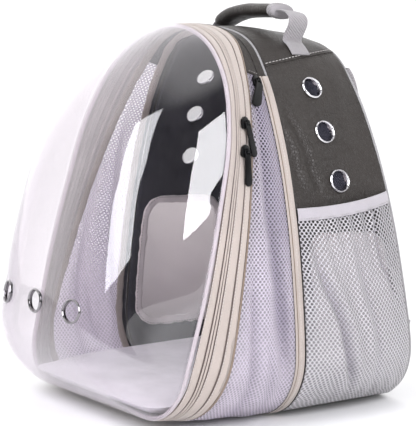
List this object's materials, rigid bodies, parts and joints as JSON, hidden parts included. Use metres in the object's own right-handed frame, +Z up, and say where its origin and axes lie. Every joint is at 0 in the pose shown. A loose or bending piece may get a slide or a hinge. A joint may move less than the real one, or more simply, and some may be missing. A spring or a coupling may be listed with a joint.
{
  "type": "pet carrier backpack",
  "caption": "Pet carrier backpack with a clear domed front, a mesh wedge that opens towards the base, a leather body, mesh side pockets and padded straps.",
  "frame": {"origin": "middle of the bounding box's base", "axes": "+Z up, -Y towards the clear dome, +X to the side with the zipper sliders"},
  "size_m": [0.3938, 0.4144, 0.4482],
  "materials": {
    "clear_plastic": "clear, thermoformed",
    "chrome_ring": "bright",
    "vent_net": "fine net",
    "black_metal": "black, glossy",
    "leather": "pebbled, dark grey-brown",
    "lining": "dark plain weave",
    "tape": "ribbed beige tape",
    "piping": "pale covered cord",
    "gusset_mesh": "open mesh, lilac white",
    "pocket_net": "open mesh, light grey",
    "window_net": "fine net",
    "board_cover": "smooth pale cloth",
    "webbing": "grey ribbed webbing"
  },
  "bodies": {
    "carrier": {"back_panel": "leather", "back_piping": "piping", "body_frame_binding": "tape", "body_lining": "lining", "body_shell": "leather", "dome": "clear_plastic", "dome_piping": "piping", "dome_vent_left": "chrome_ring", "dome_vent_middle": "chrome_ring", "dome_vent_right": "chrome_ring", "expansion_gusset": "gusset_mesh", "floor_board": "board_cover", "handle_grip": "leather", "handle_webbing_left": "webbing", "handle_webbing_right": "webbing", "hinge_strip": "leather", "pocket_elastic_left": "webbing", "pocket_elastic_right": "webbing", "pocket_mesh_left": "pocket_net", "pocket_mesh_right": "pocket_net", "shoulder_strap_left": "leather", "shoulder_strap_right": "leather", "slider_lower": "black_metal", "slider_upper": "black_metal", "slider_wedge": "black_metal", "strap_webbing_left": "webbing", "strap_webbing_right": "webbing", "vent_left_low": "chrome_ring", "vent_left_middle": "chrome_ring", "vent_left_top": "chrome_ring", "vent_mesh_left_low": "vent_net", "vent_mesh_left_middle": "vent_net", "vent_mesh_left_top": "vent_net", "vent_mesh_right_low": "vent_net", "vent_mesh_right_middle": "vent_net", "vent_mesh_right_top": "vent_net", "vent_right_low": "chrome_ring", "vent_right_middle": "chrome_ring", "vent_right_top": "chrome_ring", "window_binding_left": "webbing", "window_binding_right": "webbing", "window_mesh_left": "window_net", "window_mesh_right": "window_net", "zipper_band": "tape"},
    "pull_upper": {"pull_upper": "black_metal"},
    "pull_lower": {"pull_lower": "black_metal"},
    "pull_wedge": {"pull_wedge": "black_metal"}
  },
  "joints": [
    {"name": "pull_upper_hinge", "type": "hinge", "parent": "carrier", "child": "pull_upper", "pos_m": [0.14003, -0.02145, 0.32962], "axis": [0.2937, -0.9536, -0.0659], "range_deg": [0, 150]},
    {"name": "pull_lower_hinge", "type": "hinge", "parent": "carrier", "child": "pull_lower", "pos_m": [0.15108, -0.02939, 0.30067], "axis": [0.164, -0.9834, 0.0781], "range_deg": [0, 150]},
    {"name": "pull_wedge_hinge", "type": "hinge", "parent": "carrier", "child": "pull_wedge", "pos_m": [0.11015, 0.01523, 0.37108], "axis": [0.0787, -0.895, 0.439], "range_deg": [0, 150]}
  ]
}
